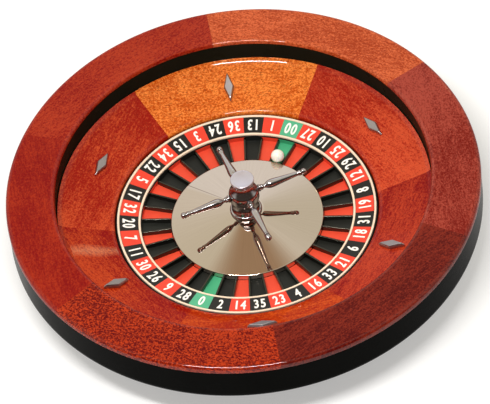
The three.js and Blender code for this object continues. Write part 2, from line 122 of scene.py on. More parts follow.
class Finish:
    """The nodes of a material or of the surroundings. What stays the same is set on its socket."""

    def __init__(self, owner):
        owner.use_nodes = True
        self.owner = owner
        self.tree = owner.node_tree
        self.tree.nodes.clear()

    def node(self, kind, settings=None, sockets=None, output=0):
        made = self.tree.nodes.new(kind)
        for key, value in (settings or {}).items():
            setattr(made, key, value)
        for key, value in (sockets or {}).items():
            if isinstance(value, Wire):
                self.tree.links.new(value.socket, made.inputs[key])
            else:
                made.inputs[key].default_value = value
        return Wire(self, made.outputs[output])

    def place(self):
        """Coordinates of the piece itself, in metres."""
        return self.node("ShaderNodeTexCoord", output="Object")

    def stretched(self, place, along_x, along_y, along_z):
        factors = (along_x, along_y, along_z)
        return self.node("ShaderNodeVectorMath", {"operation": "MULTIPLY"}, {0: place, 1: factors})

    def moved(self, place, shift):
        return self.node("ShaderNodeVectorMath", {"operation": "ADD"}, {0: place, 1: shift})

    def noise(self, place, scale, detail=2.0, roughness=0.5, distortion=0.0):
        sockets = {"Vector": place, "Scale": scale, "Detail": detail}
        sockets.update({"Roughness": roughness, "Distortion": distortion})
        return self.node("ShaderNodeTexNoise", {}, sockets)

    def step(self, value, low, high):
        """0 below low, 1 above high, and smooth in between."""
        sockets = {0: value, 1: low, 2: high}
        return self.node("ShaderNodeMapRange", {"interpolation_type": "SMOOTHSTEP"}, sockets)

    def blend(self, share, first, second):
        return self.node("ShaderNodeMix", {"data_type": "RGBA"}, {0: share, 6: first, 7: second}, 2)

    def polar(self, place):
        """Angle round the spin axis in radians, and distance from it in metres."""
        x = self.node("ShaderNodeSeparateXYZ", {}, {0: place}, 0)
        y = self.node("ShaderNodeSeparateXYZ", {}, {0: place}, 1)
        return y.math("ARCTAN2", x), (x * x + y * y) ** 0.5

    def bump(self, height, distance, strength=1.0):
        sockets = {"Height": height, "Distance": distance, "Strength": strength}
        return self.node("ShaderNodeBump", {}, sockets)

    def close(self, sockets, shader="ShaderNodeBsdfPrincipled", end="ShaderNodeOutputMaterial"):
        """Adds the shader with these sockets and gives the finished material or world."""
        surface = self.node(shader, {}, sockets)
        output = self.tree.nodes.new(end)
        self.tree.links.new(surface.socket, output.inputs["Surface"])
        return self.owner


def new_finish(name):
    return Finish(bpy.data.materials.new(name))


def colour(code):
    """Linear colour of a web colour code."""
    shares = [int(code[i : i + 2], 16) / 255 for i in (0, 2, 4)]
    linear = [s / 12.92 if s <= 0.04045 else ((s + 0.055) / 1.055) ** 2.4 for s in shares]
    return (*linear, 1.0)


def lacquered_wood(
    name, dark, light, *, middle, span, seed, lean=0.0, streak=0.5, fleck=0.3, mottle=0.3, wave=0.0
):
    """Mahogany under clear lacquer, with its grain along the chord of a stave.
    middle is the stave's angle, and span its inner and outer radius, where the lacquer is glossiest.
    seed picks the cut of wood, and lean makes it darker anticlockwise: a painted sheen, the grain's
    shimmer in the light painted into its colour."""
    finish = new_finish(name)
    own_place = finish.node(
        "ShaderNodeVectorRotate",
        {"rotation_type": "Z_AXIS"},
        {"Vector": finish.place(), "Angle": -middle},
    )
    place = finish.moved(own_place, (seed * 0.37, seed * 0.73, seed * 0.19))
    own_y = finish.node("ShaderNodeSeparateXYZ", {}, {0: own_place}, 1)
    sway = finish.noise(place, 28.0, 2.0) - 0.5
    swayed = finish.node(
        "ShaderNodeVectorMath",
        {"operation": "MULTIPLY_ADD"},
        {0: sway, 1: (wave, wave * 0.3, 0.0), 2: place},
    )
    bands = finish.noise(finish.stretched(swayed, 42, 2.6, 20), 1.0, 3.0, 0.55)
    fibre = finish.noise(finish.stretched(swayed, 480, 80, 200), 1.0, 3.0, 0.6)
    pores = finish.noise(finish.stretched(swayed, 780, 300, 500), 1.0, 1.0)
    figure = finish.noise(finish.stretched(place, 620, 430, 500), 1.0, 2.0, 0.6, 0.6)
    drift = finish.noise(place, 13.0, 2.0)
    tone = 0.5 + (bands - 0.5) * (2.2 * streak) + (fibre - 0.5) * 1.1 + (drift - 0.5) * 0.9
    # lean paints a sheen: painted shade that darkens the stave towards one end.
    tone = tone + (figure - 0.5) * (5.0 * mottle) - own_y * lean
    pore = finish.step(pores, 0.58, 0.70)
    grain = finish.step(tone, 0.05, 0.95)
    surface = finish.blend(grain, colour(dark), colour(light))
    surface = finish.blend(pore * fleck, surface, colour("4a0c04"))
    inner, outer = span
    middle_radius, half_width = (inner + outer) / 2, (outer - inner) / 2
    off_middle = (finish.polar(own_place)[1] - middle_radius).math("ABSOLUTE")
    edge = finish.step(off_middle, half_width - 5 * MM, half_width - 3 * MM)
    return finish.close(
        {
            "Base Color": surface,
            "Roughness": 0.5 - grain * 0.08,
            "Specular IOR Level": 0.02,
            "Coat Weight": 0.15 + drift * 0.03 + edge * 0.24,
            "Coat Roughness": 0.03,
            "Coat IOR": 1.7,
            "Normal": finish.bump(fibre - pore * 0.6, 0.02 * MM, 0.3),
        }
    )


def black_lacquer(name, dark, light):
    """Deep black lacquer with a slow ripple along the turning."""
    finish = new_finish(name)
    place = finish.place()
    cloud = finish.noise(place, 22.0, 3.0)
    ripple = finish.noise(finish.stretched(place, 60, 60, 9), 1.0, 2.0)
    return finish.close(
        {
            "Base Color": finish.blend(cloud, colour(dark), colour(light)),
            "Roughness": 0.2 + cloud * 0.14,
            "Specular IOR Level": 0.012,
            "Normal": finish.bump(ripple, 0.12 * MM, 0.25),
        }
    )


def black_paint():
    finish = new_finish("black satin paint")
    place = finish.place()
    grit = finish.noise(place, 900.0, 3.0, 0.65)
    patch = finish.noise(place, 18.0, 2.0)
    return finish.close(
        {
            "Base Color": finish.blend(patch, colour("0d0d0c"), colour("191917")),
            "Roughness": 0.5 + patch * 0.2,
            "Specular IOR Level": 0.3,
            "Normal": finish.bump(grit, 0.03 * MM, 0.5),
        }
    )


def moulded_rubber():
    finish = new_finish("matt rubber")
    place = finish.place()
    grain = finish.noise(place, 1800.0, 3.0, 0.7)
    dust = finish.noise(place, 70.0, 3.0)
    return finish.close(
        {
            "Base Color": finish.blend(dust, colour("151515"), colour("262524")),
            "Roughness": 0.8 + dust * 0.12,
            "Normal": finish.bump(grain, 0.05 * MM, 0.6),
        }
    )


def enamel(name, dark, light, gloss=0.3):
    """Screen-printed enamel with a faint orange peel."""
    finish = new_finish(name)
    place = finish.place()
    cloud = finish.noise(place, 55.0, 3.0)
    peel = finish.noise(place, 700.0, 2.0)
    return finish.close(
        {
            "Base Color": finish.blend(cloud, colour(dark), colour(light)),
            "Roughness": gloss + cloud * 0.12,
            "Specular IOR Level": 0.35,
            "Normal": finish.bump(peel, 0.02 * MM, 0.3),
        }
    )


def polished_nickel():
    """Mirror-polished warm nickel, rubbed along the radius, with a fine dark radial line painted into
    its colour as a painted reflection.
    """
    finish = new_finish("polished nickel")
    angle, radius = finish.polar(finish.place())
    spread = finish.node("ShaderNodeCombineXYZ", {}, {0: angle * 60.0, 1: radius * 14.0})
    rays = finish.noise(spread, 1.0, 3.0)
    cloud = finish.noise(finish.place(), 30.0, 3.0)
    # A dark line painted along one radius: a painted reflection, not a joint in the sheet.
    off_painted_line = (angle - PAINTED_LINE_ANGLE).math("ABSOLUTE")
    painted_reflection_line = 1 - finish.step(off_painted_line, 0.0035, 0.011)
    plain = finish.blend(rays, colour("c8baac"), colour("d8cabc"))
    return finish.close(
        {
            "Base Color": finish.blend(painted_reflection_line * 0.6, plain, colour("6d5d48")),
            "Metallic": 1.0,
            "Roughness": 0.015 + rays * 0.03 + cloud * 0.01,
            "Normal": finish.bump(rays, 0.01 * MM, 0.06),
        }
    )


def metal(name, dark, light, roughness, grain=420.0, depth=0.015 * MM, edge="ffffff"):
    """Bare or plated metal with fine uneven polish. edge tints what it reflects at a glancing angle."""
    finish = new_finish(name)
    place = finish.place()
    polish = finish.noise(place, grain, 3.0, 0.6)
    cloud = finish.noise(place, 60.0, 2.0)
    return finish.close(
        {
            "Base Color": finish.blend(cloud, colour(dark), colour(light)),
            "Metallic": 1.0,
            "Specular Tint": colour(edge),
            "Roughness": roughness + polish * roughness * 0.5,
            "Normal": finish.bump(polish, depth, 0.3),
        }
    )


def white_resin():
    """The ball's polished resin, a little translucent and faintly scuffed."""
    finish = new_finish("white resin")
    place = finish.place()
    cloud = finish.noise(place, 130.0, 3.0)
    scuff = finish.noise(finish.stretched(place, 900, 500, 300), 1.0, 3.0)
    return finish.close(
        {
            "Base Color": finish.blend(cloud, colour("efe6da"), colour("fbf6ee")),
            "Roughness": 0.18 + scuff * 0.12,
            "Subsurface Weight": 0.15,
            "Subsurface Scale": 2 * MM,
            "Normal": finish.bump(scuff, 0.02 * MM, 0.3),
        }
    )


def pale_floor():
    """Matt and partly glowing, so that it stays nearly white round the wheel's shadow."""
    finish = new_finish("pale floor")
    cloud = finish.noise(finish.place(), 1.5, 2.0)
    tint = finish.blend(cloud, colour("c9c8c7"), colour("cfcecd"))
    return finish.close(
        {
            "Base Color": tint,
            "Roughness": 0.9,
            "Specular IOR Level": 0.05,
            "Emission Color": tint,
            "Emission Strength": 0.68,
        }
    )


SIDE_LACQUER = black_lacquer("black side lacquer", "050504", "0b0b0a")
TRACK_LACQUER = black_lacquer("black track lacquer", "14160f", "20221a")
BLACK_PAINT = black_paint()
RUBBER = moulded_rubber()
CREAM = enamel("cream plastic", "e8cdb4", "f6dfc4", 0.25)
WHITE_PRINT = enamel("white print", "f1e9df", "fffaf2", 0.4)
CELL_RED = enamel("red print", "dc3a26", "ea442c", 0.28)
CELL_BLACK = enamel("black print", "100f0c", "1c1a16", 0.28)
CELL_GREEN = enamel("green print", "44a276", "5cb48c", 0.28)
POCKET_RED = enamel("red pocket paint", "d83f2a", "e84e30", 0.4)
POCKET_BLACK = enamel("black pocket paint", "0f100d", "1b1c17", 0.4)
POCKET_GREEN = enamel("green pocket paint", "3a9e70", "4cac7c", 0.4)
NICKEL = polished_nickel()
CHROME = metal("dark chrome", "b4aeb0", "cecacc", 0.13, edge="625a56")
SATIN = metal("satin metal", "9b9496", "b9b2b6", 0.3, grain=900.0, depth=0.03 * MM)
FRET_METAL = metal("dark fret metal", "45433c", "57544c", 0.16)
CAP_METAL = metal("brushed cap metal", "cfcad8", "e2deea", 0.28, grain=900.0)
STEEL = metal("machined steel", "8e9092", "b2b4b6", 0.22, grain=700.0)
BRASS = metal("turned brass", "a8803c", "c89c50", 0.25, grain=700.0)
RESIN = white_resin()


# ---------------------------------------------------------------- shapes


def extent(node):
    """Radii about the spin axis and levels between which a CAD node lies."""
    points = [vertex.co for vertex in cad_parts[node].data.vertices]
    radii = [math.hypot(p.x, p.y) for p in points]
    levels = [p.z for p in points]
    return SimpleNamespace(inner=min(radii), outer=max(radii), bottom=min(levels), top=max(levels))


def rounded(corners, steps=6):
    """An outline from corners of (radius, level, rounding).
    rounding is how far from the corner it starts along both sides. A narrow strip beside each rounding
    keeps the wide faces shaded flat."""
    outline = []
    for i, (x, z, *rounding) in enumerate(corners):
        corner = Vector((x, z))
        if not rounding:
            outline.append(corner)
            continue
        before = Vector(corners[i - 1][:2]) - corner
        after = Vector(corners[(i + 1) % len(corners)][:2]) - corner
        start = corner + before.normalized() * rounding[0]
        end = corner + after.normalized() * rounding[0]
        strip = rounding[0] * 1.15
        if strip < before.length / 2:
            outline.append(corner + before.normalized() * strip)
        for k in range(steps + 1):
            t = k / steps
            outline.append(start * (1 - t) ** 2 + corner * 2 * t * (1 - t) + end * t**2)
        if strip < after.length / 2:
            outline.append(corner + after.normalized() * strip)
    return outline


def turned(corners, steps, start=0.0, sweep=FULL_TURN, shade=None, fineness=6):
    """A mesh turned about +Z. Its corners run anticlockwise and close, or run from axis to axis.
    shade(step, side) gives a face's material number."""
    outline = rounded(corners, fineness)
    closed = corners[0][0] > 0
    full = sweep == FULL_TURN
    rings = steps if full else steps + 1
    made = bmesh.new()
    grid = []
    for i in range(rings):
        angle = start + sweep * i / steps
        c, s = math.cos(angle), math.sin(angle)
        grid.append([made.verts.new((r * c, r * s, z)) for r, z in outline])
    sides = len(outline) if closed else len(outline) - 1
    for i in range(steps):
        here, there = grid[i], grid[(i + 1) % rings]
        for k in range(sides):
            n = (k + 1) % len(outline)
            face = made.faces.new((here[k], there[k], there[n], here[n]))
            if shade:
                face.material_index = shade(i, k)
    if not full:
        made.faces.new(grid[0])
        made.faces.new(list(reversed(grid[-1])))
    bmesh.ops.remove_doubles(made, verts=made.verts, dist=1e-7)
    return made


def add(name, shape, materials, body, stands_for=(), place=None, crease=35):
    """Makes a piece of the object from a bmesh, riding on a body."""
    mesh = bpy.data.meshes.new(name)
    shape.to_mesh(mesh)
    shape.free()
    for material in materials:
        mesh.materials.append(material)
    mesh.polygons.foreach_set("use_smooth", [True] * len(mesh.polygons))
    mesh.set_sharp_from_angle(angle=math.radians(crease))
    piece = bpy.data.objects.new(name, mesh)
    bpy.context.scene.collection.objects.link(piece)
    if place is not None:
        piece.matrix_world = place
    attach(piece, body)
    if stands_for:
        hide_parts(*stands_for)
    return piece


def turn_about_axis(angle):
    return Matrix.Rotation(angle, 4, "Z")


def repaint(nodes, material):
    """Gives CAD nodes that nothing replaces a better finish."""
    for node in nodes:
        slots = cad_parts[node].data.materials
        slots.clear()
        slots.append(material)


# ---------------------------------------------------------------- bowl

RIM = extent("rim_segment_1")
WALL = extent("ball_track_ring")
APRON = extent("apron_segment_1")
SIDE = extent("side_ring")

# Each stave's dark and light tone, and its figure. A lean paints a sheen, darker towards one end of the
# stave.
RIM_TONES = [
    ("9c3610", "d16438", {"streak": 0.4, "fleck": 0.3, "mottle": 0.5}),
    ("7d0602", "a63316", {"streak": 0.3, "fleck": 0.25, "mottle": 0.45}),
    ("790202", "9b270c", {"streak": 0.35, "fleck": 0.2, "mottle": 0.35}),
    ("5e0202", "af3510", {"streak": 0.2, "fleck": 0.25, "mottle": 0.8}),
    ("490202", "7a2313", {"streak": 0.9, "fleck": 0.3, "mottle": 0.4}),
    ("6f0e02", "9f3f2f", {"streak": 0.5, "fleck": 0.35, "mottle": 0.45, "lean": -1.4}),
]
APRON_TONES = [
    ("961402", "c84a27", {"streak": 0.6, "fleck": 0.3, "mottle": 0.4, "lean": 2.4}),
    ("b94702", "f18839", {"streak": 0.4, "fleck": 0.45, "mottle": 0.5, "wave": 0.01}),
    ("911102", "c34821", {"streak": 0.6, "fleck": 0.25, "mottle": 0.4, "lean": -2.6}),
    ("840202", "ba3f16", {"streak": 0.6, "fleck": 0.25, "mottle": 0.4}),
    ("931602", "c54b13", {"streak": 0.5, "fleck": 0.25, "mottle": 0.35}),
    ("7d0202", "b3381a", {"streak": 0.8, "fleck": 0.3, "mottle": 0.35, "lean": 1.0}),
]


def apron_top(radius):
    return APRON.bottom + APRON_THICKNESS + (radius - APRON.inner) * math.tan(APRON_SLOPE)


def stave_middle(first_joint, i):
    return first_joint + (i + 0.5) * FULL_TURN / STAVES


def cut_woods(kind, tones, first_joint, ring, first_seed):
    """One wood for each stave of a ring, from its dark tone, its light tone and its figure."""
    made = []
    for i, (dark, light, figure) in enumerate(tones):
        place = {
            "middle": stave_middle(first_joint, i),
            "span": (ring.inner, ring.outer),
            "seed": first_seed + i,
        }
        made.append(lacquered_wood(f"{kind} wood {i + 1}", dark, light, **place, **figure))
    return made


def add_staves(kind, corners, first_joint, woods):
    """Six staves of one turned ring, with a hairline joint between neighbours."""
    glue_line = 0.0002  # radians
    sweep = FULL_TURN / STAVES - glue_line
    for i, wood in enumerate(woods):
        start = stave_middle(first_joint, i) - sweep / 2
        shape = turned(corners, BOWL_STEPS // STAVES, start=start, sweep=sweep)
        add(f"{kind}_stave_{i + 1}", shape, [wood], "bowl", [f"{kind}_segment_{i + 1}"])


def add_rim():
    """The nearly flat staves on top, with a step underneath that covers the wall."""
    ledge = WALL.outer + GAP
    corners = [
        (ledge, RIM.bottom),
        (RIM.outer, RIM.bottom, 1.2 * MM),
        (RIM.outer, RIM.top - RIM_FALL, 5 * MM),
        (RIM.inner, RIM.top, 4.5 * MM),
        (RIM.inner, WALL.top + GAP),
        (ledge, WALL.top + GAP),
    ]
    woods = cut_woods("rim", RIM_TONES, RIM_JOINT, RIM, first_seed=37)
    add_staves("rim", corners, RIM_JOINT, woods)


def add_apron():
    """The sloping staves, which turn up in a small cove at the wall."""
    cove = APRON.outer - 4.5 * MM
    corners = [
        (APRON.inner, APRON.bottom),
        (APRON.outer, apron_top(APRON.outer) - APRON_THICKNESS),
        (APRON.outer, apron_top(APRON.outer) + 2.2 * MM, 0.4 * MM),
        (cove, apron_top(cove), 3.4 * MM),
        (APRON.inner, apron_top(APRON.inner), 3 * MM),
    ]
    woods = cut_woods("apron", APRON_TONES, APRON_JOINT, APRON, first_seed=43)
    add_staves("apron", corners, APRON_JOINT, woods)


def add_carcass():
    """The black wall that the ball runs round, the outer side, and the hidden body under them."""
    wall = [
        (WALL.inner, WALL.bottom),
        (WALL.outer, WALL.bottom),
        (WALL.outer, WALL.top),
        (WALL.inner, WALL.top),
    ]
    shape = turned(wall, BOWL_STEPS)
    add("track_wall", shape, [TRACK_LACQUER], "bowl", ["ball_track_ring"])
    side = [
        (SIDE.inner, SIDE.bottom),
        (SIDE.outer, SIDE.bottom, 7 * MM),
        (SIDE.outer, SIDE.top, 0.8 * MM),
        (SIDE.inner, SIDE.top),
    ]
    add("outer_side", turned(side, BOWL_STEPS), [SIDE_LACQUER], "bowl", ["side_ring"])
    body = extent("bowl_body")
    board = extent("base_board")
    shell = [
        (body.inner, body.bottom),
        (board.outer, body.bottom),
        (body.outer, SIDE.bottom, 2 * MM),
        (body.outer, body.top),
        (WALL.outer + GAP, body.top),
        (WALL.outer + GAP, WALL.bottom - GAP),
        (APRON.outer, WALL.bottom - GAP),
        (body.inner, APRON.bottom - GAP),
    ]
    add("bowl_shell", turned(shell, BOWL_STEPS), [BLACK_PAINT], "bowl", ["bowl_body"])


def add_feet():
    """Four feet, each with a recess for its screw's head."""
    for i in range(1, 5):
        low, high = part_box(f"rubber_foot_{i}")
        radius = (high.x - low.x) / 2
        bore = 2.4 * MM
        recess = 5 * MM
        seat = high.z - 1.5 * MM  # where the screw's head bears
        corners = [
            (bore, seat),
            (recess, seat),
            (recess, low.z, 0.5 * MM),
            (radius, low.z, 1.8 * MM),
            (radius - 0.4 * MM, high.z, 0.5 * MM),
            (bore, high.z),
        ]
        place = Matrix.Translation(((low.x + high.x) / 2, (low.y + high.y) / 2, 0))
        name = f"foot_{i}"
        add(name, turned(corners, FOOT_STEPS), [RUBBER], "bowl", [f"rubber_foot_{i}"], place)


def diamond(length, width, height):
    """A low diamond with a flat top, a bevel all round and blunt tips."""
    shape = bmesh.new()
    tip, waist = 0.4 * MM, 0.3 * MM  # half the width of its blunt tips and corners
    layers = []
    for level, inset in ((0.0, 0.0), (height * 0.5, 0.0), (height * 0.93, 1.3 * MM), (height, 1.9 * MM)):
        a, b = length / 2 - inset * 1.9, width / 2 - inset * 0.75
        far_half = [(a, tip), (waist, b), (-waist, b), (-a, tip)]
        corners = far_half + [(-x, -y) for x, y in far_half]
        layers.append([shape.verts.new((x, y, level)) for x, y in corners])
    shape.faces.new(list(reversed(layers[0])))
    shape.faces.new(layers[-1])
    for lower, upper in zip(layers, layers[1:]):
        for k in range(len(lower)):
            n = (k + 1) % len(lower)
            shape.faces.new((lower[k], lower[n], upper[n], upper[k]))
    return shape


def add_deflectors():
    """Six diamonds half way down the apron, in turn across the slope and along it."""
    length, width, height = 32 * MM, 11 * MM, 4.4 * MM
    circle = 170.5 * MM
    for i in range(DEFLECTORS):
        angle = (i + 0.5) * FULL_TURN / DEFLECTORS
        stand = Vector((circle * math.cos(angle), circle * math.sin(angle), apron_top(circle) + 2 * GAP))
        tilt = Matrix.Rotation(-APRON_SLOPE, 4, "Y")
        across = Matrix.Rotation(0 if i % 2 else math.pi / 2, 4, "Z")
        place = Matrix.Translation(stand) @ turn_about_axis(angle) @ tilt @ across
        shape = diamond(length, width, height)
        stands_for = [f"deflector_{i + 1}"]
        add(f"diamond_{i + 1}", shape, [SATIN], "bowl", stands_for, place, crease=12)


# ---------------------------------------------------------------- rotor

DISC = extent("rotor_disc")
NUMBERS = extent("number_ring")
OUTER_TRIM = extent("outer_trim_ring")
INNER_TRIM = extent("inner_trim_ring")
POCKET_RING = extent("pocket_ring")
POCKET_WALL = POCKET_RING.outer - 1.5 * MM
CONE = extent("centre_cone")


def ring_level(radius):
    return NUMBERS.top + (radius - NUMBERS.outer) * RING_SLOPE


def cell_shade(number):
    """0 for red, 1 for black, 2 for green."""
    place = NUMBERS_FROM_ZERO.index(number)
    if number in ("0", "00"):
        return 2
    after = place % (POCKETS // 2)
    black_first = place < POCKETS // 2
    return 1 if (after % 2 == 1) == black_first else 0


NUMBER_AT = [NUMBERS_FROM_ZERO[(k - ZERO_CELL) % POCKETS] for k in range(POCKETS)]
CELL_SHADES = [cell_shade(number) for number in NUMBER_AT]


def add_rotor_disc():
    """The turned disc: a lip outside the trim, a seat for the number ring and a well for the pockets."""
    lip = OUTER_TRIM.outer + GAP
    well = POCKET_RING.outer + GAP
    floor = POCKET_RING.bottom - GAP
    hub = DISC.inner
    plate = DISC.bottom + 6 * MM  # underside of the thinner part inside the stiffening band
    seat_depth = NUMBER_RING_THICKNESS + GAP
    corners = [
        (hub, plate),
        (42 * MM, plate, 3 * MM),
        (46 * MM, DISC.bottom, 3 * MM),
        (112 * MM, DISC.bottom, 3 * MM),
        (DISC.outer, DISC.bottom + 16 * MM, 4 * MM),
        (DISC.outer, DISC.top, 0.4 * MM),
        (lip, DISC.top, 0.3 * MM),
        (lip, ring_level(lip) - seat_depth),
        (well, ring_level(well) - seat_depth),
        (well, floor),
        (hub, floor),
    ]
    add("rotor_wheel", turned(corners, ROTOR_STEPS), [BLACK_PAINT], "rotor", ["rotor_disc"])


def sloped_ring(inner, outer, above, below, rounding):
    """A section that lies along the number ring's slope, from so far below its face to so far above."""
    return [
        (inner, ring_level(inner) - below),
        (outer, ring_level(outer) - below),
        (outer, ring_level(outer) + above, rounding),
        (inner, ring_level(inner) + above, rounding),
    ]


def add_number_ring():
    cells = turned(
        sloped_ring(NUMBERS.inner, NUMBERS.outer, 0, NUMBER_RING_THICKNESS, 0.2 * MM),
        ROTOR_STEPS,
        start=FIRST_FRET,
        shade=lambda step, side: CELL_SHADES[step // STEPS_PER_POCKET],
    )
    prints = [CELL_RED, CELL_BLACK, CELL_GREEN]
    add("number_cells", cells, prints, "rotor", ["number_ring"])
    proud = 0.35 * MM
    trims = (("outer_trim", OUTER_TRIM, NUMBER_RING_THICKNESS), ("inner_trim", INNER_TRIM, 1.6 * MM))
    for name, trim, below in trims:
        corners = sloped_ring(trim.inner, trim.outer, proud, below, 0.7 * MM)
        shape = turned(corners, ROTOR_STEPS, start=FIRST_FRET)
        add(name, shape, [CREAM], "rotor", [f"{name}_ring"])


def numeral(text):
    """A heavy condensed numeral, centred on its own middle, standing from its underside to its face."""
    lettering = bpy.data.curves.new("numeral", "FONT")
    lettering.body = text
    lettering.align_x = "CENTER"
    lettering.size = NUMERAL_HEIGHT / 0.73  # a digit is 0.73 of the size
    lettering.space_character = 1.25
    lettering.resolution_u = 4
    holder = bpy.data.objects.new("numeral", lettering)
    bpy.context.scene.collection.objects.link(holder)
    flat = bpy.data.meshes.new_from_object(holder.evaluated_get(bpy.context.evaluated_depsgraph_get()))
    bpy.data.objects.remove(holder)
    bpy.data.curves.remove(lettering)
    shape = bmesh.new()
    shape.from_mesh(flat)
    bpy.data.meshes.remove(flat)
    bmesh.ops.remove_doubles(shape, verts=shape.verts, dist=1e-6)
    levels = [vertex.co.y for vertex in shape.verts]
    middle = (min(levels) + max(levels)) / 2
    for vertex in shape.verts:
        vertex.co = (vertex.co.x * NUMERAL_SQUEEZE, vertex.co.y - middle, 0)
    widen(shape, NUMERAL_WEIGHT)
    raised = bmesh.ops.extrude_face_region(shape, geom=shape.faces[:], use_keep_orig=True)["geom"]
    for part in raised:
        if isinstance(part, bmesh.types.BMVert):
            part.co.z = NUMERAL_PROUD
    bmesh.ops.recalc_face_normals(shape, faces=shape.faces)
    return shape


def widen(shape, width):
    """Adds a border of this width all round a flat shape."""
    pushes = {}
    sides = [edge.link_loops[0] for edge in shape.edges if edge.is_boundary]
    for side in sides:
        near, far = side.vert, side.link_loop_next.vert
        along = (far.co - near.co) * side.face.normal.z
        outwards = Vector((along.y, -along.x, 0)).normalized()
        pushes.setdefault(near, []).append(outwards)
        pushes.setdefault(far, []).append(outwards)
    border = {}
    for vertex, ways in pushes.items():
        both = ways[0] + ways[-1]
        mitre = both / max(1 + ways[0].dot(ways[-1]), 0.6)
        border[vertex] = shape.verts.new(vertex.co + mitre * width)
    for side in sides:
        near, far = side.vert, side.link_loop_next.vert
        shape.faces.new((far, near, border[near], border[far]))


def add_numerals():
    """All 38 numbers in one piece, feet outwards, lying on the ring's slope."""
    middle = (NUMBERS.inner + NUMBERS.outer) / 2
    tilt = Matrix.Rotation(-math.atan(RING_SLOPE), 4, "X")
    gathered = bmesh.new()
    for cell, number in enumerate(NUMBER_AT):
        shape = numeral(number)
        angle = FIRST_FRET + (cell + 0.5) * POCKET_ANGLE
        stand = Vector((middle * math.cos(angle), middle * math.sin(angle), ring_level(middle)))
        shape.transform(Matrix.Translation(stand) @ turn_about_axis(angle + math.pi / 2) @ tilt)
        mesh = bpy.data.meshes.new("numeral")
        shape.to_mesh(mesh)
        shape.free()
        gathered.from_mesh(mesh)
        bpy.data.meshes.remove(mesh)
    add("numerals", gathered, [WHITE_PRINT], "rotor")


def add_pocket_bowl():
    """The ring that holds the pockets, with a painted lining on each floor and up its wall."""
    corners = [
        (POCKET_RING.inner, POCKET_RING.bottom),
        (POCKET_RING.outer, POCKET_RING.bottom),
        (POCKET_RING.outer, POCKET_RING.top),
        (POCKET_WALL, POCKET_RING.top),
        (POCKET_WALL, POCKET_RING.top - 1.3 * MM),
        (POCKET_WALL, POCKET_RING.bottom + 4.2 * MM),
        (POCKET_RING.inner, POCKET_RING.bottom + 2.7 * MM),
    ]
    painted_sides = (4, 5)  # the lower part of the wall, and the floor
    black = 3

    def shade(step, side):
        return CELL_SHADES[step // STEPS_PER_POCKET] if side in painted_sides else black

    shape = turned(corners, ROTOR_STEPS, start=FIRST_FRET, shade=shade)
    paints = [POCKET_RED, POCKET_BLACK, POCKET_GREEN, BLACK_PAINT]
    add("pocket_bowl", shape, paints, "rotor", ["pocket_ring"])


def add_frets():
    """The rounded bars between the pockets, in one piece."""
    frets = bmesh.new()
    half = 1.1 * MM
    bottom, top = POCKET_RING.bottom + 1 * MM, POCKET_RING.bottom + 9.1 * MM
    ends = (POCKET_RING.inner + 0.05 * MM, POCKET_WALL + 0.3 * MM)
    corners = [(-half, bottom), (half, bottom), (half, top, 0.9 * MM), (-half, top, 0.9 * MM)]
    section = rounded(corners, 4)
    for k in range(POCKETS):
        angle = FIRST_FRET + k * POCKET_ANGLE
        c, s = math.cos(angle), math.sin(angle)
        rows = [[frets.verts.new((r * c - t * s, r * s + t * c, z)) for t, z in section] for r in ends]
        near, far = rows
        frets.faces.new(near[::-1])
        frets.faces.new(far)
        for i in range(len(section)):
            n = (i + 1) % len(section)
            frets.faces.new((near[i], near[n], far[n], far[i]))
    bmesh.ops.recalc_face_normals(frets, faces=frets.faces)
    add("frets", frets, [FRET_METAL], "rotor")


def add_cone():
    """A sheet-metal cone with a short skirt and a flat seat for the turret."""
    edge = CONE.top - 13.15 * MM
    seat_radius = 17.6 * MM
    sheet = 2.5 * MM
    skirt = CONE.outer - sheet
    corners = [
        (skirt, CONE.bottom),
        (CONE.outer, CONE.bottom),
        (CONE.outer, edge, 1.1 * MM),
        (seat_radius, CONE.top, 2 * MM),
        (CONE.inner, CONE.top),
        (CONE.inner, CONE.top - sheet),
        (seat_radius, CONE.top - sheet),
        (skirt, edge - sheet),
    ]
    add("nickel_cone", turned(corners, ROTOR_STEPS), [NICKEL], "rotor", ["centre_cone"])


def add_turret_foot():
    base = extent("turret_base")
    corners = [
        (base.inner, base.bottom),
        (base.outer, base.bottom, 0.4 * MM),
        (base.outer, base.bottom + 2.4 * MM, 1.1 * MM),
        (base.outer - 1.5 * MM, base.top, 0.8 * MM),
        (base.inner, base.top),
    ]
    add("turret_foot", turned(corners, HUB_STEPS), [CHROME], "rotor", ["turret_base"])


def add_turret_stem():
    column = extent("turret_column")
    foot = column.top - 14.25 * MM
    socket, hollow = 4.3 * MM, 10.5 * MM  # radii at its top and underneath
    corners = [
        (0, foot + 4.5 * MM),
        (hollow, foot + 4.5 * MM),
        (hollow, foot),
        (15.3 * MM, foot, 0.5 * MM),
        (14.2 * MM, foot + 3.2 * MM, 2 * MM),
        (13.2 * MM, foot + 9 * MM, 4 * MM),
        (14.4 * MM, column.top, 0.5 * MM),
        (socket, column.top),
        (socket, column.top - 7 * MM),
        (0, column.top - 7 * MM),
    ]
    add("turret_stem", turned(corners, HUB_STEPS), [CHROME], "rotor", ["turret_column"])


def add_turret_bell():
    """The bell that carries the arms, with a peg below and a socket for the cap above."""
    hub = extent("turret_hub")
    skirt = hub.top - 26.5 * MM
    peg, socket = 4 * MM, 3.3 * MM
    corners = [
        (0, skirt - 6.5 * MM),
        (peg, skirt - 6.5 * MM),
        (peg, skirt),
        (15.2 * MM, skirt, 0.4 * MM),
        (16.3 * MM, skirt + 1.4 * MM, 0.9 * MM),
        (16.2 * MM, skirt + 11 * MM, 3 * MM),
        (13 * MM, skirt + 15 * MM, 2.5 * MM),
        (8.6 * MM, skirt + 22 * MM, 5 * MM),
        (9.6 * MM, hub.top, 0.5 * MM),
        (socket, hub.top),
        (socket, hub.top - 5.3 * MM),
        (0, hub.top - 5.3 * MM),
    ]
    add("turret_bell", turned(corners, HUB_STEPS), [CHROME], "rotor", ["turret_hub"])


